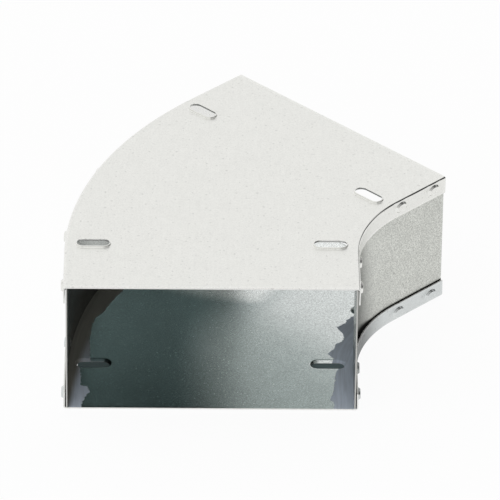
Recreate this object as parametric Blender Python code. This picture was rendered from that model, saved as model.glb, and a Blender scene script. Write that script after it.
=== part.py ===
"""Cable tray bend: a closed sheet-steel duct that turns a cable run through 45 degrees.

A flanged plate above and a flanged plate below hold two walls that are bent round the curve.
Press joints lock each flange to its wall, and plunged slots near both mouths take the clips of
the next straight length. Metres, +Z up. The origin is in the middle of the footprint, on the
surface that the bend rests on.
"""

import math

import bmesh
import bpy
from mathutils import Matrix, Vector

# The duct
INSIDE_WIDTH = 0.200
OVERALL_HEIGHT = 0.099  # over the plates, without the slot collars
LEG_LENGTH = 0.050  # straight run at each mouth
BEND_ANGLE = math.radians(45)
INSIDE_RADIUS = 0.099  # of the inner wall's face, inside the duct
ARC_STEPS = 24

# The sheet and its folds
SHEET = 0.001
SEAM_GAP = 0.0003  # between pieces that touch
FLANGE_HEIGHT = 0.013
FLANGE_LEAN = math.radians(1)  # the press joints draw the flanges in
FLANGE_STANDOFF = 0.00065  # between the wall and the flange's free edge
FOLD_RADIUS = 0.002  # outside of the fold
FOLD_STEPS = 4

# The press joints: a cup in the flange, with a smaller cup of the wall nested in it
JOINT_BELOW_PLATE = 0.006
JOINT_PROUD = 0.0018
JOINT_BASE_RADIUS = 0.0041
JOINT_CROWN_RADIUS = 0.0034
JOINT_EDGE = 0.0003  # bevel round the crown
JOINT_DISH = 0.0003  # depth of the hollow in the crown
JOINT_DISH_STEPS = 2
JOINT_SKIN = 0.0008
JOINT_TAPER = math.radians(10)
JOINT_SIDES = 16
INNER_JOINTS_FROM_MOUTH = (0.0125, 0.046)
OUTER_JOINTS_FROM_MOUTH = (0.0125, 0.078)

# The plunged slots, whose collars stand out of the plates
SLOT_LENGTH = 0.0228
SLOT_WIDTH = 0.0089
SLOT_FROM_MOUTH = 0.0585
SLOT_FROM_WALL = 0.0173
COLLAR_PROUD = 0.0013
COLLAR_RIM = 0.0008  # thickness at the free edge
COLLAR_FOOT = 0.0006  # radius where it leaves the plate
COLLAR_EDGE = 0.0002  # bevel at the free edge
SLOT_ROLL = 0.0022  # radius where the sheet rolls into the slot, inside the duct
ROUNDING_STEPS = 4
SLOT_END_STEPS = 6

OVERLAP = SHEET / 2  # how deep a joined shape starts inside the sheet

WALL_FACE = INSIDE_WIDTH / 2
WALL_BACK = WALL_FACE + SHEET
FLANGE_REACH = FLANGE_HEIGHT - FOLD_RADIUS
HALF_WIDTH = WALL_BACK + FLANGE_STANDOFF + SHEET + FLANGE_REACH * math.tan(FLANGE_LEAN)
CENTRE_RADIUS = INSIDE_RADIUS + WALL_FACE


def clear_scene():
    for old in list(bpy.data.objects):
        bpy.data.objects.remove(old, do_unlink=True)


def zinc(name, colour, roughness):
    """Bare galvanised steel, more or less bright."""
    made = bpy.data.materials.new(name)
    made.use_nodes = True
    shader = made.node_tree.nodes["Principled BSDF"]
    shader.inputs["Base Color"].default_value = (*colour, 1)
    shader.inputs["Roughness"].default_value = roughness
    shader.inputs["Metallic"].default_value = 1
    return made


def plate_finish(name):
    return zinc(name + "_finish", (0.80, 0.80, 0.77), 0.45)


def wall_finish(name):
    return zinc(name + "_finish", (0.52, 0.53, 0.50), 0.5)


def on_path(across, along):
    """The point at a distance along the line that runs `across` metres inside the middle line,
    and the direction there that points to the inside of the curve."""
    radius = CENTRE_RADIUS - across
    turned = min(max((along - LEG_LENGTH) / radius, 0), BEND_ANGLE)
    before = min(along - LEG_LENGTH, 0)
    after = max(along - LEG_LENGTH - radius * BEND_ANGLE, 0)
    forward = Vector((math.sin(turned), math.cos(turned), 0))
    inward = Vector((math.cos(turned), -math.sin(turned), 0))
    centre = Vector((CENTRE_RADIUS, LEG_LENGTH, 0))
    return centre - radius * inward + (before + after) * forward, inward


def path_length(across):
    return 2 * LEG_LENGTH + (CENTRE_RADIUS - across) * BEND_ANGLE


def far_mouth():
    """The middle of the far opening and the direction there to the inside of the curve."""
    return on_path(0, path_length(0))


def made_object(name, mesh_data, finish):
    """An object made of the mesh, shaded smooth where it is round."""
    mesh = bpy.data.meshes.new(name)
    bmesh.ops.recalc_face_normals(mesh_data, faces=mesh_data.faces)
    mesh_data.to_mesh(mesh)
    mesh_data.free()
    mesh.shade_smooth()
    mesh.set_sharp_from_angle(angle=math.radians(30))
    mesh.materials.append(finish)
    made = bpy.data.objects.new(name, mesh)
    bpy.context.scene.collection.objects.link(made)
    return made


def swept_sheet(name, section, finish):
    """The closed section, as (across, height) points, carried through both legs and the bend."""
    shape = bmesh.new()
    ring = [shape.verts.new((across, 0, height)) for across, height in section]
    shape.faces.new(ring)
    last = shape.edges[:]
    for forward in ((0, 1), (math.sin(BEND_ANGLE), math.cos(BEND_ANGLE))):
        grown = bmesh.ops.extrude_edge_only(shape, edges=last)["geom"]
        ends = [item for item in grown if isinstance(item, bmesh.types.BMVert)]
        bmesh.ops.translate(shape, verts=ends, vec=LEG_LENGTH * Vector((*forward, 0)))
        last = [item for item in grown if isinstance(item, bmesh.types.BMEdge)]
        if forward == (0, 1):
            last = spun_round_bend(shape, last)
    bmesh.ops.edgeloop_fill(shape, edges=last)
    return made_object(name, shape, finish)


def spun_round_bend(shape, edges):
    """Carries the ring of edges round the bend's centre and returns the ring at its end."""
    turned = bmesh.ops.spin(
        shape,
        geom=edges,
        cent=(CENTRE_RADIUS, LEG_LENGTH, 0),
        axis=(0, 0, 1),
        angle=-BEND_ANGLE,
        steps=ARC_STEPS,
    )
    return [item for item in turned["geom_last"] if isinstance(item, bmesh.types.BMEdge)]


def fold(radius):
    """Half a plate's edge as (across, depth) points: round the fold and down the leaning flange."""
    middle = HALF_WIDTH - FOLD_RADIUS
    points = []
    for step in range(FOLD_STEPS + 1):
        turn = (math.pi / 2 + FLANGE_LEAN) * step / FOLD_STEPS
        points.append(
            (middle + radius * math.sin(turn), FOLD_RADIUS - radius * math.cos(turn))
        )
    across, depth = points[-1]
    points.append(
        (across - (FLANGE_HEIGHT - depth) * math.tan(FLANGE_LEAN), FLANGE_HEIGHT)
    )
    return points


def plate_section(face, side):
    """A plate with both flanges. `face` is the height of its outer face, `side` +1 for the top."""
    outside = fold(FOLD_RADIUS)
    inside = fold(FOLD_RADIUS - SHEET)
    half = outside + inside[::-1]
    other = [(-across, depth) for across, depth in inside + outside[::-1]]
    return [(across, face - side * depth) for across, depth in half + other]


def wall_section(face, back):
    low = SHEET + SEAM_GAP
    high = OVERALL_HEIGHT - SHEET - SEAM_GAP
    return [(face, low), (back, low), (back, high), (face, high)]


def turned_solid(shape, profile, place):
    """Adds a solid turned round its X axis from (height, radius) points that start and end on it."""
    before = set(shape.verts)
    line = [shape.verts.new((height, 0, radius)) for height, radius in profile]
    edges = [shape.edges.new(pair) for pair in zip(line, line[1:])]
    bmesh.ops.spin(
        shape,
        geom=line + edges,
        cent=(0, 0, 0),
        axis=(1, 0, 0),
        angle=math.tau,
        steps=JOINT_SIDES,
    )
    new = [vert for vert in shape.verts if vert not in before]
    bmesh.ops.remove_doubles(shape, verts=new, dist=1e-6)
    new = [vert for vert in shape.verts if vert not in before]
    bmesh.ops.transform(shape, matrix=place, verts=new)


def flange_face_at_joint():
    """Distance from the middle line to the flange's outer face, at the height of the press joints."""
    return HALF_WIDTH - (JOINT_BELOW_PLATE - FOLD_RADIUS) * math.tan(FLANGE_LEAN)


def flange_button():
    """Profile of the cup's outside: a tapered round button with a soft edge and a dished crown."""
    face = flange_face_at_joint()
    crown = face + JOINT_PROUD
    dish_radius = JOINT_CROWN_RADIUS - JOINT_EDGE
    dish = []
    for step in range(JOINT_DISH_STEPS + 1):
        share = 1 - step / JOINT_DISH_STEPS
        dish.append((crown - JOINT_DISH * (1 - share**2), dish_radius * share))
    return [
        (face - OVERLAP, 0),
        (face - OVERLAP, JOINT_BASE_RADIUS),
        (face, JOINT_BASE_RADIUS),
        (crown - JOINT_EDGE, JOINT_CROWN_RADIUS),
        *dish,
    ]


def nested_cup(foot, top, radius_at_top):
    """Profile of a plain tapered cup or hollow between two distances from the middle line."""
    return [
        (foot, 0),
        (foot, radius_at_top + (top - foot) * math.tan(JOINT_TAPER)),
        (top, radius_at_top),
        (top, 0),
    ]


def flange_hollow():
    top = flange_face_at_joint() + JOINT_PROUD - JOINT_SKIN
    foot = flange_face_at_joint() - SHEET - OVERLAP
    return nested_cup(foot, top, JOINT_CROWN_RADIUS - JOINT_SKIN)


def wall_cup():
    top = flange_face_at_joint() + JOINT_PROUD - JOINT_SKIN - SEAM_GAP
    return nested_cup(WALL_BACK - OVERLAP, top, JOINT_CROWN_RADIUS - JOINT_SKIN - SEAM_GAP)


def wall_dimple():
    top = flange_face_at_joint() + JOINT_PROUD - 2 * JOINT_SKIN - SEAM_GAP
    foot = WALL_FACE - OVERLAP
    return nested_cup(foot, top, JOINT_CROWN_RADIUS - 2 * JOINT_SKIN - SEAM_GAP)


def joint_stations(inner):
    """Distances of the press joints along their flange, from the near mouth to the far one."""
    length = path_length(HALF_WIDTH if inner else -HALF_WIDTH)
    from_mouth = INNER_JOINTS_FROM_MOUTH if inner else OUTER_JOINTS_FROM_MOUTH
    middle = [] if inner else [length / 2]
    return [*from_mouth, *middle, *(length - gap for gap in reversed(from_mouth))]


def joint_places(inner, height):
    """Where each press joint's axis starts on the middle line, with local X pointing outwards."""
    side = 1 if inner else -1
    places = []
    for along in joint_stations(inner):
        edge, inward = on_path(side * HALF_WIDTH, along)
        outward = side * inward
        start = edge - HALF_WIDTH * outward + height * Vector((0, 0, 1))
        turn = math.atan2(outward.y, outward.x)
        places.append(Matrix.Translation(start) @ Matrix.Rotation(turn, 4, "Z"))
    return places


def slot_ring(shape, half_width, height, place):
    """A ring of points with straight sides and round ends, at one height of a slot or its collar."""
    reach = (SLOT_LENGTH - SLOT_WIDTH) / 2
    ring = []
    for side in (1, -1):
        for step in range(SLOT_END_STEPS + 1):
            turn = math.pi * (step / SLOT_END_STEPS - 0.5)
            x = side * (reach + half_width * math.cos(turn))
            y = side * half_width * math.sin(turn)
            ring.append(shape.verts.new(place @ Vector((x, y, height))))
    return ring


def lofted_slot(shape, levels, place):
    """Adds a closed slot shape through (half width, height) levels, bottom to top."""
    rings = [slot_ring(shape, half_width, height, place) for half_width, height in levels]
    for low, high in zip(rings, rings[1:]):
        for i, vert in enumerate(low):
            shape.faces.new((low[i - 1], vert, high[i], high[i - 1]))
    shape.faces.new(rings[0])
    shape.faces.new(rings[-1])


def rolled(half_width, height, radius):
    """A quarter round, as (half width, height) levels, that narrows from a flat face to an
    upright wall at `half_width`."""
    levels = []
    for step in range(ROUNDING_STEPS + 1):
        turn = math.pi / 2 * step / ROUNDING_STEPS
        levels.append(
            (
                half_width + radius * (1 - math.sin(turn)),
                height + radius * (1 - math.cos(turn)),
            )
        )
    return levels


def collar_levels():
    """The collar's outside, from inside the plate to its free edge."""
    rim = SLOT_WIDTH / 2 + COLLAR_RIM
    return [
        (rim + COLLAR_FOOT, -OVERLAP),
        *rolled(rim, 0, COLLAR_FOOT),
        (rim, COLLAR_PROUD - COLLAR_EDGE),
        (rim - COLLAR_EDGE, COLLAR_PROUD),
    ]


def slot_levels():
    """The slot's inside: the sheet rolls into it from inside the duct, then it is straight."""
    half = SLOT_WIDTH / 2
    return [
        (half + SLOT_ROLL, -SHEET - OVERLAP),
        *rolled(half, -SHEET, SLOT_ROLL),
        (half, COLLAR_PROUD + OVERLAP),
    ]


def slot_places(face, side):
    """Two slots near each mouth. Local X runs across the duct and local Z out of the plate."""
    flip = Matrix.Diagonal((1, 1, side, 1))
    across = WALL_FACE - SLOT_FROM_WALL
    far_middle, far_inward = far_mouth()
    near = Matrix.Identity(4)
    far = Matrix.Translation(far_middle) @ Matrix.Rotation(
        math.atan2(far_inward.y, far_inward.x), 4, "Z"
    )
    return [
        mouth @ Matrix.Translation((x, y, face)) @ flip
        for mouth, y in ((near, SLOT_FROM_MOUTH), (far, -SLOT_FROM_MOUTH))
        for x in (-across, across)
    ]


def helper(name, shape, finish):
    """A shape that only joins or cuts, left out of the render."""
    made = made_object(name, shape, finish)
    made.hide_render = True
    made.display_type = "WIRE"
    return made


def formed(piece, joined, cut):
    """Adds the drawn shapes to a sheet, then opens them from behind."""
    for label, operation, other in (
        ("drawn shapes", "UNION", joined),
        ("hollows", "DIFFERENCE", cut),
    ):
        modifier = piece.modifiers.new(label, "BOOLEAN")
        modifier.operation = operation
        modifier.object = other
    return piece


def plate(name, side):
    """One flanged plate with its slots and the outer cups of its press joints."""
    face = OVERALL_HEIGHT if side > 0 else 0
    finish = plate_finish(name)
    joined = bmesh.new()
    cut = bmesh.new()
    for place in slot_places(face, side):
        lofted_slot(joined, collar_levels(), place)
        lofted_slot(cut, slot_levels(), place)
    for inner in (True, False):
        for place in joint_places(inner, face - side * JOINT_BELOW_PLATE):
            turned_solid(joined, flange_button(), place)
            turned_solid(cut, flange_hollow(), place)
    return formed(
        swept_sheet(name, plate_section(face, side), finish),
        helper(name + "_drawn", joined, finish),
        helper(name + "_hollows", cut, finish),
    )


def wall(name, inner):
    """One wall with the inner cups of its press joints, pressed outwards into the flanges."""
    side = 1 if inner else -1
    finish = wall_finish(name)
    joined = bmesh.new()
    cut = bmesh.new()
    for height in (JOINT_BELOW_PLATE, OVERALL_HEIGHT - JOINT_BELOW_PLATE):
        for place in joint_places(inner, height):
            turned_solid(joined, wall_cup(), place)
            turned_solid(cut, wall_dimple(), place)
    return formed(
        swept_sheet(name, wall_section(side * WALL_FACE, side * WALL_BACK), finish),
        helper(name + "_drawn", joined, finish),
        helper(name + "_dimples", cut, finish),
    )


def footprint_middle():
    """Middle of the bounding box in plan: press joints on the near leg, corners of the far mouth."""
    far_middle, far_inward = far_mouth()
    low = Vector((-flange_face_at_joint() - JOINT_PROUD, 0, 0))
    inner_corner = far_middle + HALF_WIDTH * far_inward
    outer_corner = far_middle - HALF_WIDTH * far_inward
    high = Vector((inner_corner.x, outer_corner.y, 0))
    return (low + high) / 2


def stand_on_origin(pieces):
    """Parents the pieces to an empty that puts the footprint's middle at the origin."""
    stand = bpy.data.objects.new("stand", None)
    bpy.context.scene.collection.objects.link(stand)
    stand.location = COLLAR_PROUD * Vector((0, 0, 1)) - footprint_middle()
    for piece in pieces:
        piece.parent = stand


def main():
    clear_scene()
    plate("top_plate", 1)
    plate("bottom_plate", -1)
    wall("outer_wall", False)
    wall("inner_wall", True)
    stand_on_origin(list(bpy.data.objects))


main()
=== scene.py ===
# %% [markdown]
# # A cable tray bend in galvanised sheet
# The real thing is a closed duct of folded zinc-coated steel that turns a cable run through
# 45 degrees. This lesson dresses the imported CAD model: it loads the model as a fixed frame,
# works out each of the four sheets as a surface with numpy, and gives every face a finish made
# of nodes. All lengths are metres, and every object lies in the same frame as the CAD.

# %% Load the CAD model
import math

import bmesh
import bpy
import numpy as np
from mathutils import Matrix


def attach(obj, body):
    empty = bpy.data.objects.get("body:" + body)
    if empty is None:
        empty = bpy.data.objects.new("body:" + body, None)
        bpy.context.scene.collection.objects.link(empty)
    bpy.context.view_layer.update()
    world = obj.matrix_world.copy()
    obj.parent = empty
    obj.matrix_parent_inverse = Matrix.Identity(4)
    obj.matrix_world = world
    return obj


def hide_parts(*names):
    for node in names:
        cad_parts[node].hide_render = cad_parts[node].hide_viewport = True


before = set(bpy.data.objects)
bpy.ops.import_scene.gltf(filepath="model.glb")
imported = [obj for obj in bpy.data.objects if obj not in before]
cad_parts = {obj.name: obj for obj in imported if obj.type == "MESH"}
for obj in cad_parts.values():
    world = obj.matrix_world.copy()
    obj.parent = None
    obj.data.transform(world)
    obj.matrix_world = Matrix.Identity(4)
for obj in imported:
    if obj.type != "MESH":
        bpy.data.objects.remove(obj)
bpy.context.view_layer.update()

print("CAD nodes:", sorted(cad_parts))

# %% [markdown]
# ## The camera
# A product picture like this is taken from far away with a long lens, so that the sides of the
# duct stay nearly parallel. The camera could be aimed with a constraint, but a turn about
# each axis says the same thing with nothing left live: first the roll, then the pitch down to
# the part, then the small turn to the right. It is made first because it settles what shows.

# %% Make the camera
CAMERA_PLACE = (-0.060156, -4.032154, 2.486413)
CAMERA_TURN = math.radians(0.8122)
CAMERA_DOWN = math.radians(31.2345)
CAMERA_ROLL = math.radians(0.7887)
CAMERA_LENS = 475.93


def make_camera():
    """Looks along +Y, turned right by the turn, down by the pitch and rolled about its axis."""
    data = bpy.data.cameras.new("product_camera")
    data.lens = CAMERA_LENS
    data.sensor_width = 36
    data.clip_start, data.clip_end = 0.1, 60
    camera = bpy.data.objects.new("product_camera", data)
    camera.matrix_world = (
        Matrix.Translation(CAMERA_PLACE)
        @ Matrix.Rotation(-CAMERA_TURN, 4, "Z")
        @ Matrix.Rotation(math.radians(90) - CAMERA_DOWN, 4, "X")
        @ Matrix.Rotation(CAMERA_ROLL, 4, "Z")
    )
    bpy.context.scene.collection.objects.link(camera)
    bpy.context.scene.camera = camera
    return camera


camera = make_camera()
bpy.context.scene.view_settings.view_transform = "Standard"
print("camera", camera.data.lens, "mm lens at", [round(v, 3) for v in camera.location])

# %% [markdown]
# ## The studio
# Bare zinc has hardly any colour of its own: it shows what stands around it. The picture was
# taken in a white studio with darker corners, and those corners draw the thin grey lines along
# the folds. A sky made of nodes does this without any card that could get into another view.
# Its direction vector is compared with the directions of the dark corners, and each corner
# takes a soft bite out of the white.

# %% Make a small helper for node graphs
def linked(tree, kind, values=None, inputs=None, **settings):
    """Adds a node with its settings, then puts numbers on some inputs and links others."""
    node = tree.nodes.new(kind)
    for key, value in settings.items():
        setattr(node, key, value)
    for key, value in (values or {}).items():
        node.inputs[key].default_value = value
    for key, source in (inputs or {}).items():
        tree.links.new(source, node.inputs[key])
    return node


# %% Make the sky
DARK_CORNERS = (
    # direction, how far it reaches (cosine), how much light it takes away
    ((0.80, 0.07, 0.59), 0.80, 1.0),
    ((0.80, 0.57, 0.18), 0.93, 0.95),
    ((0.54, 0.83, 0.10), 0.93, 0.65),
    ((0.56, -0.40, 0.72), 0.88, 0.65),
    ((0.45, -0.75, 0.48), 0.89, 0.65),
)


def make_sky():
    """White to the camera. To everything else, white less a smooth bite round each corner:
    1 - amount * smooth((cosine - reach) / (1 - reach))."""
    world = bpy.data.worlds.new("studio")
    world.use_nodes = True
    tree = world.node_tree
    tree.nodes.clear()
    direction = linked(tree, "ShaderNodeTexCoord").outputs["Generated"]
    level = None
    for towards, reach, amount in DARK_CORNERS:
        cosine = linked(
            tree,
            "ShaderNodeVectorMath",
            {1: towards},
            {0: direction},
            operation="DOT_PRODUCT",
        )
        bite = linked(
            tree,
            "ShaderNodeMapRange",
            {"From Min": reach, "From Max": 1, "To Min": 1, "To Max": 1 - amount},
            {"Value": cosine.outputs["Value"]},
            interpolation_type="SMOOTHSTEP",
        ).outputs["Result"]
        if level is None:
            level = bite
        else:
            level = linked(
                tree, "ShaderNodeMath", None, {0: level, 1: bite}, operation="MULTIPLY"
            ).outputs["Value"]
    ray = linked(tree, "ShaderNodeLightPath").outputs["Is Camera Ray"]
    shown = linked(
        tree, "ShaderNodeMath", None, {0: level, 1: ray}, operation="MAXIMUM"
    ).outputs["Value"]
    background = linked(
        tree, "ShaderNodeBackground", {"Color": (1, 1, 1, 1)}, {"Strength": shown}
    )
    out = linked(tree, "ShaderNodeOutputWorld")
    tree.links.new(background.outputs["Background"], out.inputs["Surface"])
    bpy.context.scene.world = world
    return world


make_sky()
print("sky with", len(DARK_CORNERS), "dark corners")

# %% [markdown]
# The floor is one white disc. Its upper face is mostly a plain white glow to the camera, which
# keeps the background white, with a share of real diffuse white so that the part still throws a
# faint shadow. Seen from below it is clear, so the underside of the part can be looked at.
# A glow would also shine up through the slots in the duct's floor, where the real floor lies in
# deep shadow, so a strip without any glow covers the ground under the duct a little later. It
# keeps the light off the underside as well, so seen from below the bright zinc looks black.

# %% Make the floor
FLOOR_RADIUS = 14.0
FLOOR_DROP = 0.0002  # just under the collars that the part stands on
FLOOR_SIDES = 64
FLOOR_GLOW = 0.94
FLOOR_WHITE = (0.95, 0.95, 0.95)


def floor_finish(name, glow_share, colour):
    """A plain colour, with a white glow mixed in for what the camera sees straight or in the
    metal, and clear from below."""
    material = bpy.data.materials.new(name)
    material.use_nodes = True
    tree = material.node_tree
    tree.nodes.clear()
    plain = linked(tree, "ShaderNodeBsdfDiffuse", {"Color": (*colour, 1)})
    glow = linked(tree, "ShaderNodeEmission", {"Color": (1, 1, 1, 1), "Strength": 1.0})
    path = linked(tree, "ShaderNodeLightPath").outputs
    seen = linked(
        tree,
        "ShaderNodeMath",
        None,
        {0: path["Is Camera Ray"], 1: path["Is Glossy Ray"]},
        operation="MAXIMUM",
    ).outputs["Value"]
    share = linked(
        tree, "ShaderNodeMath", {1: glow_share}, {0: seen}, operation="MULTIPLY"
    ).outputs["Value"]
    top = linked(
        tree,
        "ShaderNodeMixShader",
        None,
        {"Fac": share, 1: plain.outputs["BSDF"], 2: glow.outputs["Emission"]},
    )
    clear = linked(tree, "ShaderNodeBsdfTransparent")
    behind = linked(tree, "ShaderNodeNewGeometry").outputs["Backfacing"]
    both = linked(
        tree,
        "ShaderNodeMixShader",
        None,
        {"Fac": behind, 1: top.outputs["Shader"], 2: clear.outputs["BSDF"]},
    )
    out = linked(tree, "ShaderNodeOutputMaterial")
    tree.links.new(both.outputs["Shader"], out.inputs["Surface"])
    return material


def make_floor():
    """One disc, just under z = 0."""
    shape = bmesh.new()
    bmesh.ops.create_circle(shape, cap_ends=True, segments=FLOOR_SIDES, radius=FLOOR_RADIUS)
    bmesh.ops.translate(shape, verts=shape.verts, vec=(0, 0, -FLOOR_DROP))
    mesh = bpy.data.meshes.new("floor")
    shape.to_mesh(mesh)
    shape.free()
    mesh.materials.append(floor_finish("studio_floor", FLOOR_GLOW, FLOOR_WHITE))
    floor = bpy.data.objects.new("floor", mesh)
    bpy.context.scene.collection.objects.link(floor)
    return floor


floor = make_floor()
print("floor faces", [tuple(round(v) for v in face.normal) for face in floor.data.polygons])

# %% [markdown]
# ## The line that the duct follows
# Both walls and both plates run along the same path: a straight leg, an arc of 45 degrees and
# another straight leg. Anything that is swept needs a way to turn "so far across, so far
# along" into a place. A curve object could carry a section along, but a formula keeps every
# ring of points exactly square to the path, and works on whole arrays at once.

# %% Put points on the path
LEG = 0.050
BEND = math.radians(45)
CENTRE_RADIUS = 0.199
ARC = CENTRE_RADIUS * BEND
LENGTH = 2 * LEG + ARC
INSIDE = 0.100  # half the duct's inside width
SHEET = 0.001
HALF_WIDTH = 0.102842  # to the outermost line of the folds
HEIGHT = 0.099
COLLAR_PROUD = 0.0013
FOOTPRINT_MIDDLE = (0.030895, 0.149395)


def on_path(across, along):
    """Plan place. On the legs it is a plain step, and on the arc it is the arc's centre less
    (radius - across) times the direction that the path has turned to."""
    turn = np.clip((along - LEG) / CENTRE_RADIUS, 0, BEND)
    straight = np.minimum(along - LEG, 0) + np.maximum(along - LEG - ARC, 0)
    radius = CENTRE_RADIUS - across
    x = CENTRE_RADIUS - radius * np.cos(turn) + straight * np.sin(turn)
    y = LEG + radius * np.sin(turn) + straight * np.cos(turn)
    return x - FOOTPRINT_MIDDLE[0], y - FOOTPRINT_MIDDLE[1]


def own_length(across, along):
    """Length along the line that runs `across` inside the middle line, up to the same place."""
    over = along - LEG
    turned = np.clip(over / CENTRE_RADIUS, 0, BEND) * (CENTRE_RADIUS - across)
    return LEG + np.minimum(over, 0) + turned + np.maximum(over - ARC, 0)


def middle_length(across, length):
    """The reverse: from a length on that line to the length along the middle line."""
    over = length - LEG
    radius = CENTRE_RADIUS - across
    turn = np.clip(over / radius, 0, BEND)
    past = np.maximum(over - radius * BEND, 0)
    return LEG + np.minimum(over, 0) + turn * CENTRE_RADIUS + past


def off_path(x, y):
    """The reverse of on_path, with the direction to the inside of the curve: the turn is the
    angle about the arc's centre, kept within the bend, and the rest are dot products."""
    from_centre = x + FOOTPRINT_MIDDLE[0] - CENTRE_RADIUS
    past = y + FOOTPRINT_MIDDLE[1] - LEG
    turn = np.clip(np.arctan2(past, -from_centre), 0, BEND)
    across = CENTRE_RADIUS + from_centre * np.cos(turn) - past * np.sin(turn)
    straight = from_centre * np.sin(turn) + past * np.cos(turn)
    return across, LEG + turn * CENTRE_RADIUS + straight, np.stack([np.cos(turn), -np.sin(turn)])


x_ends, y_ends = on_path(np.array([HALF_WIDTH, -HALF_WIDTH]), LENGTH)
print("far mouth corners reach x", round(float(x_ends[0]), 4), "and y", round(float(y_ends[1]), 4))

# %% [markdown]
# With the path known, the shaded ground under the duct is a strip along it, in painted shade.
# It is drawn in from the duct's sides and mouths so far that no view from above shows its edge.

# %% Shade the ground under the duct
SHADE_INSET = 0.006
SHADE_POINTS = 60
# the strip's colour is painted shade, a dark blue-grey instead of the floor's white
SHADE_COLOUR = (0.22, 0.28, 0.29)


def make_shaded_ground():
    """A strip between two lines that run along the path, just above the floor."""
    along = np.linspace(SHADE_INSET, LENGTH - SHADE_INSET, SHADE_POINTS)
    sides = [on_path(side * (INSIDE - SHADE_INSET), along) for side in (-1, 1)]
    points = [np.stack([x, y, 0 * x - FLOOR_DROP / 2], axis=-1) for x, y in sides]
    first = np.arange(len(along) - 1)
    quads = np.stack([first, first + len(along), first + len(along) + 1, first + 1], axis=-1)
    mesh = bpy.data.meshes.new("shaded_ground")
    mesh.from_pydata(np.concatenate(points), [], quads)
    mesh.materials.append(floor_finish("shaded_floor", 0, SHADE_COLOUR))
    ground = bpy.data.objects.new("shaded_ground", mesh)
    bpy.context.scene.collection.objects.link(ground)
    return ground


ground = make_shaded_ground()
print("shaded ground faces up:", all(face.normal.z > 0.9 for face in ground.data.polygons))

# %% [markdown]
# ## The folded section
# Each plate is flat, turns down over a 2 mm bend and ends in a flange that leans in by one
# degree, because the press joints draw it to the wall. Measured along its outside, every
# point of the section has one distance from the middle, so one number says where it is,
# and a second one says how deep it lies in the sheet.

# %% Put points on a plate or on a wall
FOLD = 0.002
FLANGE_HEIGHT = 0.013
FLANGE_LEAN = math.radians(1)
FOLD_TURN = math.pi / 2 + FLANGE_LEAN
FLAT = HALF_WIDTH - FOLD
FOLD_END = FLAT + FOLD * FOLD_TURN


def down_flange(drop):
    """Distance round the section to the place on the flange that lies this far down."""
    return FOLD_END + (drop - FOLD * (1 - math.cos(FOLD_TURN))) / math.sin(FOLD_TURN)


FLANGE_END = down_flange(FLANGE_HEIGHT)


def on_section(around, depth):
    """Across and down. Flat as far as the fold, then a circle of the fold's radius less the
    depth, then straight along the flange."""
    out = np.abs(around)
    turn = np.clip((out - FLAT) / FOLD, 0, FOLD_TURN)
    down = np.maximum(out - FOLD_END, 0)
    radius = FOLD - depth
    across = np.minimum(out, FLAT) + radius * np.sin(turn) + down * math.cos(FOLD_TURN)
    drop = FOLD - radius * np.cos(turn) + down * math.sin(FOLD_TURN)
    return np.sign(around) * across, drop


def stacked(x, y, z):
    """Arrays of x, y and z as one array of points."""
    return np.stack(np.broadcast_arrays(x, y, z), axis=-1)


def plate_point(side):
    """A plate's surface: the section, carried along the path. `side` is 1 above, -1 below."""

    def point(around, along, depth):
        across, drop = on_section(around, depth)
        x, y = on_path(across, along)
        height = HEIGHT - drop if side > 0 else drop
        return stacked(x, y, COLLAR_PROUD + height)

    return point


def wall_point(side):
    """A wall's surface: upright, `side` 1 inside the curve and -1 outside. Depth 0 is its back."""

    def point(up, along, depth):
        x, y = on_path(side * (INSIDE + SHEET - depth), along)
        return stacked(x, y, COLLAR_PROUD + up)

    return point


print("outside of the section, middle to free edge:", round(FLANGE_END * 1000, 3), "mm")

# %% [markdown]
# ## Building a sheet
# A sheet is two grids of points, one for each face, joined by a narrow rounded rim where it was
# sheared. Where a joint is pressed or a slot is cut, a block of the grid is left out and filled
# with rings instead: the outer ring is the edge of the block itself, and the inner ones
# are circles or slots. This keeps round things round, which a plain grid can't, and needs no
# Boolean. The pieces are then merged into one closed surface.

# %% Lay out grid lines
NEAREST_LINES = 0.0004


def lines(stops, step):
    """Sorted stops, less those that nearly coincide, with even lines between each two."""
    kept = []
    for stop in sorted(stops):
        if not kept or stop - kept[-1] > NEAREST_LINES:
            kept.append(stop)
    spans = [
        np.linspace(low, high, max(math.ceil((high - low) / step), 1), endpoint=False)
        for low, high in zip(kept, kept[1:])
    ]
    return np.concatenate([*spans, [kept[-1]]])


def nearest(values, value):
    """Number of the grid line that is closest to a value."""
    return int(np.argmin(np.abs(values - value)))


# %% Turn grids and rings into faces
MERGE_WITHIN = 2e-6
SHARP_FROM = math.radians(32)
FLAT_FROM, DRAWN_SPAN = 0.995, 0.05  # cosines between the normal and the flat sheet's own


def grid_faces(rows, columns, closed=False):
    """Four corners for each cell of a grid of points, in rows. `closed` joins the last column
    to the first."""
    index = np.arange(rows * columns).reshape(rows, columns)
    right = np.roll(index, -1, axis=1)
    if not closed:
        index, right = index[:, :-1], right[:, :-1]
    return np.stack([index[:-1], right[:-1], right[1:], index[1:]], axis=-1)


def rings_part(rings, finish):
    """Rings of points, each joined to the next."""
    rings = np.stack(rings)
    faces = grid_faces(*rings.shape[:2], closed=True).reshape(-1, 4)
    return rings.reshape(-1, 3), faces, np.full(len(faces), finish)


def block_edge(low, high):
    """Row and column numbers round a block of the grid, in order, from its lowest corner."""
    (row0, column0), (row1, column1) = low, high
    rows = np.arange(row0, row1)
    columns = np.arange(column0, column1)
    return (
        np.concatenate([rows, row1 + 0 * columns, rows[::-1] + 1, row0 + 0 * columns]),
        np.concatenate([column0 + 0 * rows, columns, column1 + 0 * rows, columns[::-1] + 1]),
    )


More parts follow.
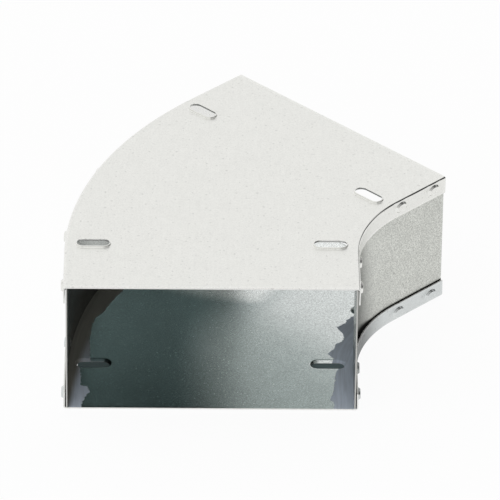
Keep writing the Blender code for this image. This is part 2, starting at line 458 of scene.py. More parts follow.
def mark_surface(mesh):
    """Two attributes for the finishes. duct_place is (across, along, up) on the duct. drawn is 1
    where the metal was folded or pressed, that is where the normal points neither up or down
    nor straight across the duct, and 0 where it stayed flat."""
    count = len(mesh.vertices)
    places, normals = np.zeros(3 * count), np.zeros(3 * count)
    mesh.vertices.foreach_get("co", places)
    mesh.vertices.foreach_get("normal", normals)
    x, y, z = places.reshape(-1, 3).T
    across, along, inward = off_path(x, y)
    normal_x, normal_y, normal_z = normals.reshape(-1, 3).T
    level = np.maximum(np.abs(normal_z), np.abs(normal_x * inward[0] + normal_y * inward[1]))
    place = mesh.attributes.new("duct_place", "FLOAT_VECTOR", "POINT")
    place.data.foreach_set("vector", np.stack([across, along, z], axis=-1).ravel())
    drawn = mesh.attributes.new("drawn", "FLOAT", "POINT")
    drawn.data.foreach_set("value", np.clip((FLAT_FROM - level) / DRAWN_SPAN, 0, 1))


def joined(name, parts, finishes):
    """One object from (points, faces, finish numbers), with the doubles merged, the faces
    pointing outwards and the edges sharp where the sheet turns by more than SHARP_FROM."""
    points, faces, numbers = [], [], []
    start = 0
    for part_points, part_faces, part_numbers in parts:
        points.append(part_points)
        faces.append(part_faces + start)
        numbers.append(part_numbers)
        start += len(part_points)
    points, faces, numbers = map(np.concatenate, (points, faces, numbers))
    used, faces = np.unique(faces, return_inverse=True)
    faces = faces.reshape(-1, 4)
    mesh = bpy.data.meshes.new(name)
    mesh.from_pydata(points[used], [], faces)
    mesh.polygons.foreach_set("material_index", numbers.astype(np.int32))
    shape = bmesh.new()
    shape.from_mesh(mesh)
    bmesh.ops.remove_doubles(shape, verts=shape.verts, dist=MERGE_WITHIN)
    bmesh.ops.recalc_face_normals(shape, faces=shape.faces)
    open_edges = sum(1 for edge in shape.edges if not edge.is_manifold)
    shape.to_mesh(mesh)
    shape.free()
    mesh.shade_smooth()
    mesh.set_sharp_from_angle(angle=SHARP_FROM)
    mark_surface(mesh)
    for finish in finishes:
        mesh.materials.append(finish)
    made = bpy.data.objects.new(name, mesh)
    bpy.context.scene.collection.objects.link(made)
    print(name, len(mesh.polygons), "faces,", open_edges, "open edges")
    return made


# %% Build a closed sheet
RIM = 0.00012  # rounding of the sheared edges
OUTSIDE, INSIDE_FACE, CUT = 0, 1, 2


def sheet_parts(point, around, along, features):
    """The two faces and the rim. `around` and `along` are grid lines whose first and last are
    the sheet's true ends. Each feature is (around range, along range, ring maker), and the
    ring maker gets the lines' values round its block."""
    rows, columns = around.copy(), along.copy()
    for values in (rows, columns):
        values[0] += RIM
        values[-1] -= RIM
    keep = np.ones((len(rows) - 1, len(columns) - 1), bool)
    parts = []
    for row_range, column_range, maker in features:
        low = (nearest(around, row_range[0]), nearest(along, column_range[0]))
        high = (nearest(around, row_range[1]), nearest(along, column_range[1]))
        keep[low[0] : high[0], low[1] : high[1]] = False
        row, column = block_edge(low, high)
        parts += maker(point, rows[row], columns[column])
    faces = grid_faces(len(rows), len(columns))[keep].reshape(-1, 4)
    for depth, finish in ((0, OUTSIDE), (SHEET, INSIDE_FACE)):
        points = point(rows[:, None], columns[None, :], depth).reshape(-1, 3)
        parts.append((points, faces, np.full(len(faces), finish)))
    row, column = block_edge((0, 0), (len(rows) - 1, len(columns) - 1))
    rim = [
        point(rows[row], columns[column], 0),
        point(around[row], along[column], RIM),
        point(around[row], along[column], SHEET - RIM),
        point(rows[row], columns[column], SHEET),
    ]
    parts.append(rings_part(rim, CUT))
    return parts


print("rim rounding", RIM * 1000, "mm")

# %% [markdown]
# ## The press joints
# A punch pushes the flange and the wall outwards together, so that a cup of the wall sits in a
# cup of the flange and the two can't slide. On a grid this is a bump whose height depends only
# on the distance from its middle. The profile is given as (radius, depth, rounding), negative
# depths stand proud of the face, and the round outline is stretched a little along the seam.

# %% Make rings for a press joint
JOINT_DOWN = 0.006  # from the plate's face to a joint's middle
JOINT_BLOCK = 0.0052
JOINT_STRETCH = 1.45  # the buttons are this much longer than tall


def rounded(points, steps=4):
    """A profile with its marked corners rounded: each is (radius, depth, rounding), and the
    corner is replaced by a curve (1-t)^2 a + 2t(1-t) b + t^2 c between its two sides."""
    out = []
    for i, (radius, depth, rounding) in enumerate(points):
        here = np.array([radius, depth])
        if not rounding:
            out.append(here)
            continue
        before = np.array(points[i - 1][:2]) - here
        after = np.array(points[i + 1][:2]) - here
        first = here + before / np.linalg.norm(before) * rounding
        last = here + after / np.linalg.norm(after) * rounding
        for t in np.linspace(0, 1, steps + 1):
            out.append((1 - t) ** 2 * first + 2 * t * (1 - t) * here + t**2 * last)
    return out


FLANGE_CUP = rounded(
    [
        (0.0049, 0, 0),
        (0.0041, 0, 0.0004),
        (0.0031, -0.00172, 0.0003),
        (0.0024, -0.00172, 0.0003),
        (0.0016, -0.00140, 0.0004),
        (0, -0.00140, 0),
    ]
)
FLANGE_HOLLOW = rounded(
    [
        (0.0044, SHEET, 0),
        (0.0030, SHEET, 0.0004),
        (0.0026, -0.0010, 0.0002),
        (0, -0.0010, 0),
    ]
)
WALL_CUP = rounded(
    [
        (0.0040, 0, 0),
        (0.0027, 0, 0.0003),
        (0.0023, -0.00247, 0.0003),
        (0, -0.00247, 0),
    ]
)
WALL_DIMPLE = rounded(
    [
        (0.0034, SHEET, 0),
        (0.0020, SHEET, 0.0004),
        (0.0015, -0.00167, 0.0003),
        (0, -0.00167, 0),
    ]
)


def press_joint(around, across, along, outside, inside):
    """Fills the block round (around, along) with ovals: around + r cos a, and
    along + stretch * r sin a measured on the sheet's own line, for the angle a of each edge
    point."""
    own = own_length(across, along)

    def rings(point, rows, columns):
        past = (own_length(across, columns) - own) / JOINT_STRETCH
        angle = np.arctan2(past, rows - around)
        parts = []
        for profile, depth, finish in ((outside, 0, OUTSIDE), (inside, SHEET, INSIDE_FACE)):
            made = [point(rows, columns, depth)]
            for radius, level in profile:
                past = JOINT_STRETCH * radius * np.sin(angle)
                place = middle_length(across, own + past)
                made.append(point(around + radius * np.cos(angle), place, level))
            parts.append(rings_part(made, finish))
        return parts

    reach = middle_length(across, own + JOINT_STRETCH * JOINT_BLOCK * np.array([-1, 1]))
    return (around - JOINT_BLOCK, around + JOINT_BLOCK), tuple(reach), rings


INNER_JOINTS = (0.0125, 0.046)  # from the mouth, along the seam
OUTER_JOINTS = (0.0125, 0.078)


def joint_stations(inner):
    """Middle-line lengths of the press joints on one side, mirrored about the bend's middle."""
    across = HALF_WIDTH if inner else -HALF_WIDTH
    near = [float(middle_length(across, s)) for s in (INNER_JOINTS if inner else OUTER_JOINTS)]
    middle = [] if inner else [LENGTH / 2]
    return [*near, *middle, *(LENGTH - s for s in reversed(near))]


print("press joints on each seam:", len(joint_stations(True)), "and", len(joint_stations(False)))

# %% [markdown]
# ## The plunged slots
# The long holes near the mouths aren't just cut: a punch draws their edge outwards into a low
# collar, so the sheet rolls over from inside the duct, goes up through the collar and comes
# down outside to a small fillet. One profile of (half width, height) says all of this, and each
# level of it is the same round-ended outline, a bit wider or narrower. The floor's slots show
# their far side through the mouth, bright and even, so there the roll is a cone with a small
# corner, while the cover keeps the plain round roll.

# %% Make rings for a slot
SLOT_LENGTH, SLOT_WIDTH = 0.0228, 0.0089
SLOT_FROM_MOUTH, SLOT_ACROSS = 0.0585, 0.0827
SLOT_REACH = (SLOT_LENGTH - SLOT_WIDTH) / 2
SLOT_HALF = SLOT_WIDTH / 2
SLOT_BLOCK = 0.0145
COLLAR_RIM = SLOT_HALF + 0.0008
FILLET_REACH, FILLET = 0.0011, 0.0006  # where the collar leaves the plate
OUTER_EDGE_ROUND, INNER_EDGE_ROUND = 0.0003, 0.0002  # of the collar's free rim
ROLL_REACH = 0.0026
CORNER_STEPS = 6
INNER_TURN, OUTER_TURN = 0.150, 0.058  # how far round the bend a slot's block goes


def slot_profile(foot, roll):
    """Up the outside of the collar, over its rim and down its bore, which is `foot` wider
    where it meets the inside of the sheet, with a corner of the given roll."""
    return rounded(
        [
            (COLLAR_RIM + FILLET_REACH, 0, 0),
            (COLLAR_RIM, 0, FILLET),
            (COLLAR_RIM, COLLAR_PROUD, OUTER_EDGE_ROUND),
            (SLOT_HALF, COLLAR_PROUD, INNER_EDGE_ROUND),
            (SLOT_HALF + foot, -SHEET, roll),
            (SLOT_HALF + ROLL_REACH, -SHEET, 0),
        ],
        steps=CORNER_STEPS,
    )


SLOT_PROFILES = {
    1: slot_profile(foot=0, roll=0.0021),
    -1: slot_profile(foot=0.0013, roll=0.0006),
}


def mouth_frame(near):
    """Middle of a mouth in plan, and the directions across it and into the duct."""
    turn = 0 if near else BEND
    middle = np.array(on_path(0.0, 0.0 if near else LENGTH))
    across = np.array([math.cos(turn), -math.sin(turn)])
    into = np.array([math.sin(turn), math.cos(turn)]) * (1 if near else -1)
    return middle, across, into


def plunged_slot(side, near, across):
    """Fills its block with outlines of the slot. Each edge point goes to the nearest point of
    the slot's middle line plus its half width in the direction between the two."""
    middle, right, into = mouth_frame(near)
    centre = middle + across * right + SLOT_FROM_MOUTH * into

    def rings(point, rows, columns):
        top, bottom = point(rows, columns, 0), point(rows, columns, SHEET)
        u = (top[:, :2] - centre) @ right
        v = (top[:, :2] - centre) @ into
        core = np.clip(u, -SLOT_REACH, SLOT_REACH)
        away = np.hypot(u - core, v)
        made = [top]
        for half, height in SLOT_PROFILES[side]:
            new_u = core + half * (u - core) / away
            new_v = half * v / away
            plan = centre + new_u[:, None] * right + new_v[:, None] * into
            level = COLLAR_PROUD + (HEIGHT + height if side > 0 else -height)
            made.append(stacked(plan[:, 0], plan[:, 1], level))
        made.append(bottom)
        # the last corner is the roll, and in the floor the cone before it counts with it
        last = len(SLOT_PROFILES[side]) - 1
        first = last - CORNER_STEPS - (0 if side > 0 else 1)
        roll = CUT if side > 0 else INSIDE_FACE
        return [
            rings_part(made[: first + 1], OUTSIDE),
            rings_part(made[first : last + 1], roll),
            rings_part(made[last:], INSIDE_FACE),
        ]

    turned = INNER_TURN if across > 0 else OUTER_TURN
    reach = (LEG, LEG + turned * CENTRE_RADIUS)
    if not near:
        reach = (LENGTH - reach[1], LENGTH - reach[0])
    return (across - SLOT_BLOCK, across + SLOT_BLOCK), reach, rings


print("slot profiles have", len(SLOT_PROFILES[1]), "levels")

# %% [markdown]
# ## The four sheets
# The grid lines follow the features: they are close where the sheet folds or is pressed, and
# wide apart where it is flat. The arc needs a line for every degree or less to look round.

# %% Lay out and build the plates
LEG_STEP, FLAT_STEP, WALL_STEP, FINE_STEP = 0.004, 0.005, 0.006, 0.0013
ARC_STEP = math.radians(0.75) * CENTRE_RADIUS
FOLD_LINES = 10
FOLD_MARGIN = 0.0006  # a first line this far before the fold keeps the flat's shading flat
SEAM_GAP = 0.0003
EDGE_MARGIN = 0.0006  # kept clear between a joint's block and the wall's edge
SAME_LINE = 1e-6


def stops_along(features):
    """The lines along the duct that the grid can't do without."""
    return [0, LEG, LEG + ARC, LENGTH, *(end for feature in features for end in feature[1])]


def finer(values, ranges, step):
    """Grid lines with extra ones inside the given ranges, at most a step apart."""
    out = [values[0]]
    for low, high in zip(values, values[1:]):
        inside = any(a - SAME_LINE <= low and high <= b + SAME_LINE for a, b in ranges)
        count = math.ceil((high - low) / step - SAME_LINE) if inside else 1
        out += list(np.linspace(low, high, max(count, 1) + 1)[1:])
    return np.array(out)


def plate_parts(side):
    """The cover, side 1, or the floor, side -1, with their joints and slots."""
    joint_place = down_flange(JOINT_DOWN)
    joints = [
        press_joint(sign * joint_place, sign * HALF_WIDTH, station, FLANGE_CUP, FLANGE_HOLLOW)
        for sign in (1, -1)
        for station in joint_stations(sign > 0)
    ]
    slots = [
        plunged_slot(side, near, across)
        for near in (True, False)
        for across in (SLOT_ACROSS, -SLOT_ACROSS)
    ]
    features = joints + slots
    half = [
        0,
        SLOT_ACROSS - SLOT_BLOCK,
        SLOT_ACROSS + SLOT_BLOCK,
        FLAT - FOLD_MARGIN,
        FLAT,
        joint_place - JOINT_BLOCK,
        FOLD_END,
        joint_place + JOINT_BLOCK,
        FLANGE_END,
    ]
    around = lines([s * value for value in half for s in (-1, 1)], FLAT_STEP)
    fold = [(s * FLAT, s * FOLD_END)[::s] for s in (-1, 1)]
    pressed = [feature[0] for feature in joints]
    slotted = [feature[0] for feature in slots]
    around = finer(around, fold, FOLD * FOLD_TURN / FOLD_LINES)
    around = finer(finer(around, pressed, FINE_STEP), slotted, 2 * FINE_STEP)
    along = lines(stops_along(features), LEG_STEP)
    along = finer(along, [(LEG, LEG + ARC)], ARC_STEP)
    along = finer(along, [feature[1] for feature in joints], FINE_STEP)
    return sheet_parts(plate_point(side), around, along, features)


def wall_parts(side):
    """The wall inside the curve, side 1, or outside it, side -1, between the two plates."""
    low, high = SHEET + SEAM_GAP, HEIGHT - SHEET - SEAM_GAP
    joints = [
        press_joint(up, side * (INSIDE + SHEET), station, WALL_CUP, WALL_DIMPLE)
        for up in (JOINT_DOWN, HEIGHT - JOINT_DOWN)
        for station in joint_stations(side > 0)
    ]
    # the wall's edge is near, so its blocks end a little closer to the joint's middle
    shorter = JOINT_BLOCK - (JOINT_DOWN - low - EDGE_MARGIN)
    joints = [
        ((up[0] + shorter, up[1] - shorter), reach, maker) for up, reach, maker in joints
    ]
    stops = [low, high, *(end for feature in joints for end in feature[0])]
    around = finer(lines(stops, WALL_STEP), [feature[0] for feature in joints], FINE_STEP)
    along = lines(stops_along(joints), LEG_STEP)
    along = finer(along, [(LEG, LEG + ARC)], ARC_STEP)
    along = finer(along, [feature[1] for feature in joints], FINE_STEP)
    return sheet_parts(wall_point(side), around, along, joints)


# %% [markdown]
# ## The finishes
# Galvanised steel is steel with a skin of zinc. From close by it is mottled, because the zinc
# froze in small crystals, and rolling leaves a faint grain. Metals have no diffuse
# colour, so the mottling goes into the reflection colour, the roughness and a shallow bump.
# Where the sheet was folded or pressed the skin is burnished, so it mirrors more sharply: that
# is what draws the thin dark lines along the folds and round the buttons.

# %% Make helpers for patterns
NOISE_LOW, NOISE_HIGH = 0.3, 0.7  # where nearly all of a noise lies


def mapped_noise(tree, coordinates, scale, detail, low, high, turn=0.0, stretch=(1, 1, 1)):
    """Noise read in metres, turned about Z and stretched, and spread from low to high."""
    mapping = linked(
        tree,
        "ShaderNodeMapping",
        {"Rotation": (0, 0, turn), "Scale": stretch},
        {"Vector": coordinates},
    )
    noise = linked(
        tree,
        "ShaderNodeTexNoise",
        {"Scale": scale, "Detail": detail, "Roughness": 0.6},
        {"Vector": mapping.outputs["Vector"]},
    )
    return ramp(tree, noise.outputs["Fac"], NOISE_LOW, NOISE_HIGH, low, high)


def ramp(tree, value, start, end, low, high, shape="LINEAR"):
    """From low to high while the value goes from start to end."""
    return linked(
        tree,
        "ShaderNodeMapRange",
        {"From Min": start, "From Max": end, "To Min": low, "To Max": high},
        {"Value": value},
        interpolation_type=shape,
    ).outputs["Result"]


def combine(tree, operation, *values):
    """The values added, multiplied and so on, two at a time. Numbers stay on the sockets."""
    result = values[0]
    for value in values[1:]:
        node = tree.nodes.new("ShaderNodeMath")
        node.operation = operation
        for i, source in enumerate((result, value)):
            if isinstance(source, (int, float)):
                node.inputs[i].default_value = source
            else:
                tree.links.new(source, node.inputs[i])
        result = node.outputs["Value"]
    return result


def surface_value(tree, name, output="Fac"):
    """An attribute that the mesh carries."""
    return linked(tree, "ShaderNodeAttribute", attribute_name=name).outputs[output]


# %% Make a galvanised finish
# sizes of the patterns, in noise cells to the metre
CRYSTALS, CLOUDS, ROLLING, SPECKS, POLISH = 1150, 60, 500, 420, 800
CLOUD_SHARE = 1 / 6  # how strong the clouds are beside the crystals
ROLLING_TURN = math.radians(38)
SPECKS_FROM, SPECKS_TO, SPECKS_LEVEL = 0.74, 0.79, 0.85  # only the highest peaks make a speck
RELIEF = 0.0002


def galvanised(name, colour, roughness, mottle, grain, bump, burnished=0.14):
    """Zinc whose colour is multiplied by mottling, by a diagonal grain and by a few dark
    specks, and whose roughness falls where the metal was drawn."""
    material = bpy.data.materials.new(name)
    material.use_nodes = True
    tree = material.node_tree
    shader = tree.nodes["Principled BSDF"]
    shader.inputs["Metallic"].default_value = 1
    place = linked(tree, "ShaderNodeTexCoord").outputs["Object"]
    cloud = mottle * CLOUD_SHARE
    fine = mapped_noise(tree, place, CRYSTALS, 1, 1 - mottle, 1 + mottle)
    broad = mapped_noise(tree, place, CLOUDS, 3, 1 - cloud, 1 + cloud)
    rolled = mapped_noise(
        tree, place, ROLLING, 2, 1 - grain, 1 + grain, ROLLING_TURN, (1, 0.12, 1)
    )
    specks = linked(
        tree,
        "ShaderNodeTexNoise",
        {"Scale": SPECKS, "Detail": 0},
        {"Vector": place},
    ).outputs["Fac"]
    specks = ramp(tree, specks, SPECKS_FROM, SPECKS_TO, 1, SPECKS_LEVEL)
    shade = combine(tree, "MULTIPLY", fine, broad, rolled, specks)
    tint = linked(
        tree,
        "ShaderNodeVectorMath",
        {0: colour},
        {"Scale": shade},
        operation="SCALE",
    )
    tree.links.new(tint.outputs["Vector"], shader.inputs["Base Color"])
    rough = mapped_noise(tree, place, POLISH, 2, 0.9 * roughness, 1.1 * roughness)
    drawn = surface_value(tree, "drawn")
    rough = combine(tree, "MULTIPLY", rough, ramp(tree, drawn, 0, 1, 1, burnished / roughness))
    tree.links.new(rough, shader.inputs["Roughness"])
    relief = linked(
        tree,
        "ShaderNodeBump",
        {"Strength": bump, "Distance": RELIEF},
        {"Height": fine},
    )
    tree.links.new(relief.outputs["Normal"], shader.inputs["Normal"])
    return material


# name, colour, roughness, mottle, grain, bump, roughness where it was drawn
plate_outside = galvanised("plate_outside", (0.82, 0.82, 0.79), 0.42, 0.05, 0.015, 0.15)
# plate_inside and wall_inside are painted shade: the outsides' zinc, made darker and blue-green
plate_inside = galvanised("plate_inside", (0.50, 0.56, 0.55), 0.25, 0.03, 0.01, 0.01)
wall_outside = galvanised("wall_outside", (0.59, 0.60, 0.565), 0.40, 0.28, 0.02, 0.30)
wall_inside = galvanised("wall_inside", (0.32, 0.34, 0.33), 0.25, 0.04, 0.02, 0.03)
plate_cut = galvanised("plate_cut", (0.84, 0.84, 0.82), 0.60, 0.04, 0.0, 0.10, 0.60)
wall_cut = galvanised("wall_cut", (0.52, 0.52, 0.50), 0.40, 0.04, 0.0, 0.10, 0.40)
print("nodes in a zinc finish:", len(plate_outside.node_tree.nodes))

# %% [markdown]
# The zinc is also painted darker or lighter by place: painted shade in a corner and near the
# mouth, painted light further in. Each such place is a level between 0 and 1, made of ramps over
# the place on the duct that the mesh carries as an attribute, and the level multiplies the colour.

# %% Darken a finish by place
def duct_axes(tree):
    """Across, along and up on the duct."""
    duct = surface_value(tree, "duct_place", "Vector")
    apart = linked(tree, "ShaderNodeSeparateXYZ", None, {"Vector": duct}).outputs
    return apart["X"], apart["Y"], apart["Z"]


def off_by(tree, value, middle, reach):
    """|value - middle| / reach"""
    away = combine(tree, "ABSOLUTE", combine(tree, "SUBTRACT", value, middle), 0)
    return combine(tree, "DIVIDE", away, reach)


def mixed(tree, share, first, second, clamped=True):
    """A colour between two, by the share of the second. Plain colours stay on the sockets."""
    node = linked(
        tree,
        "ShaderNodeMix",
        None,
        {"Factor": share},
        data_type="RGBA",
        clamp_factor=clamped,
    )
    for socket, source in ((node.inputs[6], first), (node.inputs[7], second)):
        if isinstance(source, tuple):
            socket.default_value = (*source, 1)
        else:
            tree.links.new(source, socket)
    return node.outputs[2]


def shaded(material, level):
    """Multiplies the reflection colour by a level or by a colour."""
    tree = material.node_tree
    base = tree.nodes["Principled BSDF"].inputs["Base Color"]
    before = base.links[0].from_socket
    after = linked(
        tree, "ShaderNodeVectorMath", None, {0: before, 1: level}, operation="MULTIPLY"
    )
    tree.links.new(after.outputs["Vector"], base)
    return material


# %% [markdown]
# On the inside of the curve, a painted shadow darkens the narrow gap behind the lower flange and
# a band just above it, thickest where the curve begins, and a painted shade climbs the wall there.
# The flange is painted a little greyer there too. The painted shade takes the shine with the
# colour.

# %% Painted shadow and shade at the foot of the inner wall
SEAM_HEIGHT = COLLAR_PROUD + FLANGE_HEIGHT
CURVE_START = 0.085  # along the duct, where the painted shadow is darkest
SHADOW_REACH, SHADOW_THICK, SHADOW_THIN, SHADOW_LEVEL = 0.100, 0.0110, 0.0014, 0.03
SHADE_CLIMB, SHADE_LEVEL = 0.250, 0.35
FLANGE_SHADE_REACH, FLANGE_SHADE_LEVEL = 0.110, 0.45
FLANGE_FROM, FLANGE_TO = 0.0985, 0.1005  # across, from the floor's flat to its inner flange


def dulled(material, level):
    """Multiplies the reflection colour by the level and leaves that share of the metal."""
    shader = material.node_tree.nodes["Principled BSDF"]
    shader.inputs["Specular IOR Level"].default_value = 0
    material.node_tree.links.new(level, shader.inputs["Metallic"])
    return shaded(material, level)


def painted_shade_foot(material):
    """A painted black shadow band above the flange, thinning out along the curve, times a soft
    painted shade.
    """
    tree = material.node_tree
    _, along, up = duct_axes(tree)
    away = off_by(tree, along, CURVE_START, SHADOW_REACH)
    top = ramp(tree, away, 0.1, 0.8, SHADOW_THICK, SHADOW_THIN, "SMOOTHSTEP")
    above = combine(tree, "DIVIDE", combine(tree, "SUBTRACT", up, SEAM_HEIGHT), top)
    band = ramp(tree, above, 0.35, 1.0, SHADOW_LEVEL, 1, "SMOOTHSTEP")
    away = combine(tree, "ADD", away, combine(tree, "DIVIDE", up, SHADE_CLIMB))
    soft = ramp(tree, away, 0.1, 1.0, SHADE_LEVEL, 1, "SMOOTHSTEP")
    return dulled(material, combine(tree, "MULTIPLY", band, soft))


def painted_shade_flange(material):
    """A soft painted shade on the inner flange where the curve begins."""
    tree = material.node_tree
    across, along, _ = duct_axes(tree)
    away = off_by(tree, along, CURVE_START, FLANGE_SHADE_REACH)
    level = ramp(tree, away, 0.1, 1, FLANGE_SHADE_LEVEL, 1, "SMOOTHSTEP")
    elsewhere = ramp(tree, across, FLANGE_FROM, FLANGE_TO, 1, 0)
    return dulled(material, combine(tree, "MAXIMUM", level, elsewhere))


inner_wall_outside = painted_shade_foot(
    galvanised("inner_wall_outside", (0.59, 0.60, 0.565), 0.40, 0.28, 0.02, 0.30)
)
# the lower plate's outside is painted shade: the cover's zinc made darker and blue-green, with
# more painted shade where the curve begins
bottom_outside = painted_shade_flange(
    galvanised("bottom_outside", (0.66, 0.685, 0.68), 0.42, 0.05, 0.015, 0.15)
)
# the painted shadow and shade lie above this height
print("dirt lies above", round(SEAM_HEIGHT * 1000, 1), "mm")

# %% [markdown]
# The outer wall's inside is painted light, brighter zinc than the other insides and than its
# own outside, and it is darker near the near mouth. The floor has painted shade there on the
# same side, which clears up towards the inside of the curve, and painted light further in.

# %% Painted light and shade inside the near mouth
WALL_FALL = 0.875  # the darker band's upper edge falls by this much for each metre along
WALL_DARK_TO, WALL_CLEAR_FROM, WALL_LEVEL = 0.112, 0.138, 0.28
PAINTED_SHADE_TINT = (0.24, 0.32, 0.33)
SIDE_FROM, SIDE_TO = -0.030, 0.034  # across: from the painted shade to none
BEYOND_FROM, BEYOND_TO, PAINTED_LIGHT_LEVEL = 0.132, 0.156, 1.3  # along: from the painted shade to painted light
OUTER_TO, INNER_FROM = 0.005, 0.035  # across: how far the painted light beyond reaches
ROLL_SHADE = 0.7


def mouth_darkened_wall(material):
    """Dark below a line that falls with the length along the duct."""
    tree = material.node_tree
    _, along, up = duct_axes(tree)
    line = combine(tree, "ADD", up, combine(tree, "MULTIPLY", along, WALL_FALL))
    level = ramp(tree, line, WALL_DARK_TO, WALL_CLEAR_FROM, WALL_LEVEL, 1, "SMOOTHSTEP")
    return shaded(material, level)


def painted_floor_shade_and_light(material):
    """Painted shade: a dark blue-green on the outer side of the duct, as far as the curve's
    middle, and darkest where the floor rolls into a slot. Further in on that side, painted light
    brightens it."""
    tree = material.node_tree
    across, along, _ = duct_axes(tree)
    side = ramp(tree, across, SIDE_FROM, SIDE_TO, 0, 1, "SMOOTHSTEP")
    outer_side = ramp(tree, across, OUTER_TO, INNER_FROM, 1, 0)
    beyond = ramp(tree, along, BEYOND_FROM, BEYOND_TO, 0, PAINTED_LIGHT_LEVEL, "SMOOTHSTEP")
    beyond = combine(tree, "MULTIPLY", beyond, outer_side)
    share = combine(tree, "MAXIMUM", side, beyond)
    shaded(material, mixed(tree, share, PAINTED_SHADE_TINT, (1, 1, 1), clamped=False))
    rolled = ramp(tree, surface_value(tree, "drawn"), 0, 1, 0, ROLL_SHADE)
    rolled = combine(tree, "MULTIPLY", rolled, combine(tree, "SUBTRACT", 1, side))
    return shaded(material, combine(tree, "SUBTRACT", 1, rolled))


# painted light: this inside is brighter than the other insides and its own outside
outer_wall_inside = mouth_darkened_wall(
    galvanised("outer_wall_inside", (0.82, 0.82, 0.80), 0.25, 0.04, 0.02, 0.02)
)
# the floor's inside carries painted shade near the mouth and painted light further in
floor_inside = painted_floor_shade_and_light(
    galvanised("floor_inside", (0.63, 0.66, 0.65), 0.25, 0.22, 0.01, 0.01, 0.2)
)
# these two carry the painted shade and light, and the darker band near the mouth
print("tarnished:", outer_wall_inside.name, floor_inside.name)

# %% [markdown]
# The duct's floor is also stained along both walls: a dull blue-grey bloom with a ragged edge,
# such as standing damp leaves on bare zinc, gone brown towards the outer wall. It is a second,
# unpolished surface, so the mask switches the metal off and the roughness up. The mask compares
# the distance from the middle line with an edge that a colour ramp gives for the length along
# the duct, and fine noise frays that edge.

# %% Stain the floor beside the walls
# pairs of (length along the duct, the edge's distance from the middle line)
INNER_EDGE = (
    (0.004, 0.0860), (0.009, 0.0860), (0.011, 0.0835), (0.024, 0.0862), (0.039, 0.0871),
    (0.048, 0.0882), (0.054, 0.0902), (0.0595, 0.0867), (0.070, 0.0847), (0.078, 0.0859),
    (0.088, 0.0806), (0.101, 0.0841), (0.112, 0.0830), (0.119, 0.0863), (0.128, 0.0860),
    (0.137, 0.0831), (0.143, 0.0783), (0.147, 0.0756), (0.160, 0.0782), (0.166, 0.0766),
    (0.183, 0.0778), (0.190, 0.1),
)
OUTER_EDGE = (
    (0.003, 0.0903), (0.007, 0.0896), (0.017, 0.0870), (0.0195, 0.0848), (0.027, 0.0863),
    (0.029, 0.0911), (0.047, 0.0914), (0.0525, 0.0927), (0.058, 0.0839), (0.0605, 0.0854),
    (0.069, 0.0867), (0.081, 0.0889), (0.091, 0.0903), (0.098, 0.0901), (0.103, 0.0870),
    (0.109, 0.0862), (0.1185, 0.0847), (0.127, 0.0832), (0.150, 0.0832), (0.160, 0.1),
)
EDGE_LOW, EDGE_HIGH, EDGE_LENGTH = 0.070, 0.100, 0.200
EDGE_FRAY, EDGE_SOFT = 0.0016, 0.0002
FRAY_SCALE, STREAK_SCALE = 420, 400  # noise cells to the metre
STREAK_LOW, STREAK_HIGH = 0.85, 1.15
MIDDLE = 0.01  # half the width in which one side's edge gives way to the other's
BROWN_LEAN = 0.125  # the brown widens by this much for each metre along
BROWN_TO, BLOOM_FROM = -0.102, -0.096
BLOOM_DARKENS, BLOOM_DEEPEST, DEEPEST_LEVEL = 0.090, 0.150, 0.72


def edge_ramp(tree, along, pairs):
    """The edge's distance at a length, on straight lines between the pairs."""
    share = combine(tree, "DIVIDE", along, EDGE_LENGTH)
    node = linked(tree, "ShaderNodeValToRGB", None, {"Fac": share})
    stops = node.color_ramp.elements
    while len(stops) < len(pairs):
        stops.new(0.5)
    for stop, (length, edge) in zip(stops, pairs):
        level = (edge - EDGE_LOW) / (EDGE_HIGH - EDGE_LOW)
        stop.position = length / EDGE_LENGTH
        stop.color = (level, level, level, 1)
    return ramp(tree, node.outputs["Color"], 0, 1, EDGE_LOW, EDGE_HIGH)


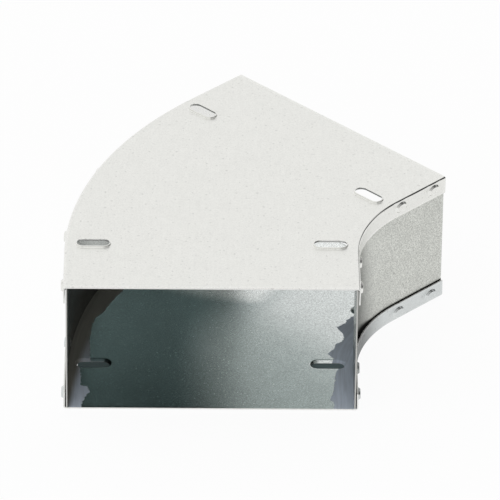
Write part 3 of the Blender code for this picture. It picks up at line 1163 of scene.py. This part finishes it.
def stained(material, bloom, brown, roughness):
    """Mixes a dull stain into a zinc finish beyond the edge. Streaks run along the wall, so
    their noise is stretched that way."""
    tree = material.node_tree
    shader = tree.nodes["Principled BSDF"]
    duct = surface_value(tree, "duct_place", "Vector")
    across, along, _ = duct_axes(tree)
    inner_side = ramp(tree, across, -MIDDLE, MIDDLE, 0, 1)
    inner = combine(tree, "MULTIPLY", edge_ramp(tree, along, INNER_EDGE), inner_side)
    outer_side = ramp(tree, across, -MIDDLE, MIDDLE, 1, 0)
    outer = combine(tree, "MULTIPLY", edge_ramp(tree, along, OUTER_EDGE), outer_side)
    fray = mapped_noise(tree, duct, FRAY_SCALE, 3, -EDGE_FRAY / 2, EDGE_FRAY / 2, 0, (1, 1, 0))
    beyond = combine(tree, "ADD", combine(tree, "ABSOLUTE", across, 0), fray)
    beyond = combine(tree, "SUBTRACT", combine(tree, "SUBTRACT", beyond, inner), outer)
    mask = ramp(tree, beyond, -EDGE_SOFT, EDGE_SOFT, 0, 1)
    off_wall = combine(tree, "SUBTRACT", across, combine(tree, "MULTIPLY", along, BROWN_LEAN))
    off_wall = ramp(tree, off_wall, BROWN_TO, BLOOM_FROM, 0, 1, "SMOOTHSTEP")
    near_mouth = ramp(tree, along, 0.030, 0.090, 1, 0.15, "SMOOTHSTEP")
    blue = combine(tree, "MAXIMUM", inner_side, combine(tree, "MULTIPLY", off_wall, near_mouth))
    streaks = mapped_noise(
        tree, duct, STREAK_SCALE, 2, STREAK_LOW, STREAK_HIGH, 0, (1, 0.06, 0)
    )
    deeper = ramp(tree, along, BLOOM_DARKENS, BLOOM_DEEPEST, 1, DEEPEST_LEVEL)
    stain = linked(
        tree,
        "ShaderNodeVectorMath",
        None,
        {0: mixed(tree, blue, brown, bloom), "Scale": combine(tree, "MULTIPLY", streaks, deeper)},
        operation="SCALE",
    ).outputs["Vector"]
    base, bare = shader.inputs["Base Color"], shader.inputs["Roughness"].links[0].from_socket
    tree.links.new(mixed(tree, mask, base.links[0].from_socket, stain), base)
    rough = linked(tree, "ShaderNodeMix", {"B": roughness}, {"Factor": mask, "A": bare})
    tree.links.new(rough.outputs["Result"], shader.inputs["Roughness"])
    tree.links.new(ramp(tree, mask, 0, 1, 1, 0), shader.inputs["Metallic"])
    return material


stained_floor = stained(floor_inside, (0.54, 0.60, 0.69), (0.19, 0.18, 0.155), 0.7)
print("stain outlines have", len(INNER_EDGE), "and", len(OUTER_EDGE), "points")

# %% [markdown]
# ## Putting it together
# Each sheet is a piece of its own on the real bend, so each is one object here. It takes three
# finishes, for its outside, its inside and its cut edges, it rides on the only body that there
# is, and it stands in for the CAD node of the same name.

# %% Build the sheets and put them in place of the CAD nodes
for node, parts, finishes, slot in (
    ("top_plate", plate_parts(1), (plate_outside, plate_inside, plate_cut), "plate_zinc"),
    ("bottom_plate", plate_parts(-1), (bottom_outside, stained_floor, plate_cut), "plate_zinc"),
    ("outer_wall", wall_parts(-1), (wall_outside, outer_wall_inside, wall_cut), "wall_zinc"),
    ("inner_wall", wall_parts(1), (inner_wall_outside, wall_inside, wall_cut), "wall_zinc"),
):
    piece = joined(node + "_sheet", parts, finishes)
    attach(piece, "root")
    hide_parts(node)
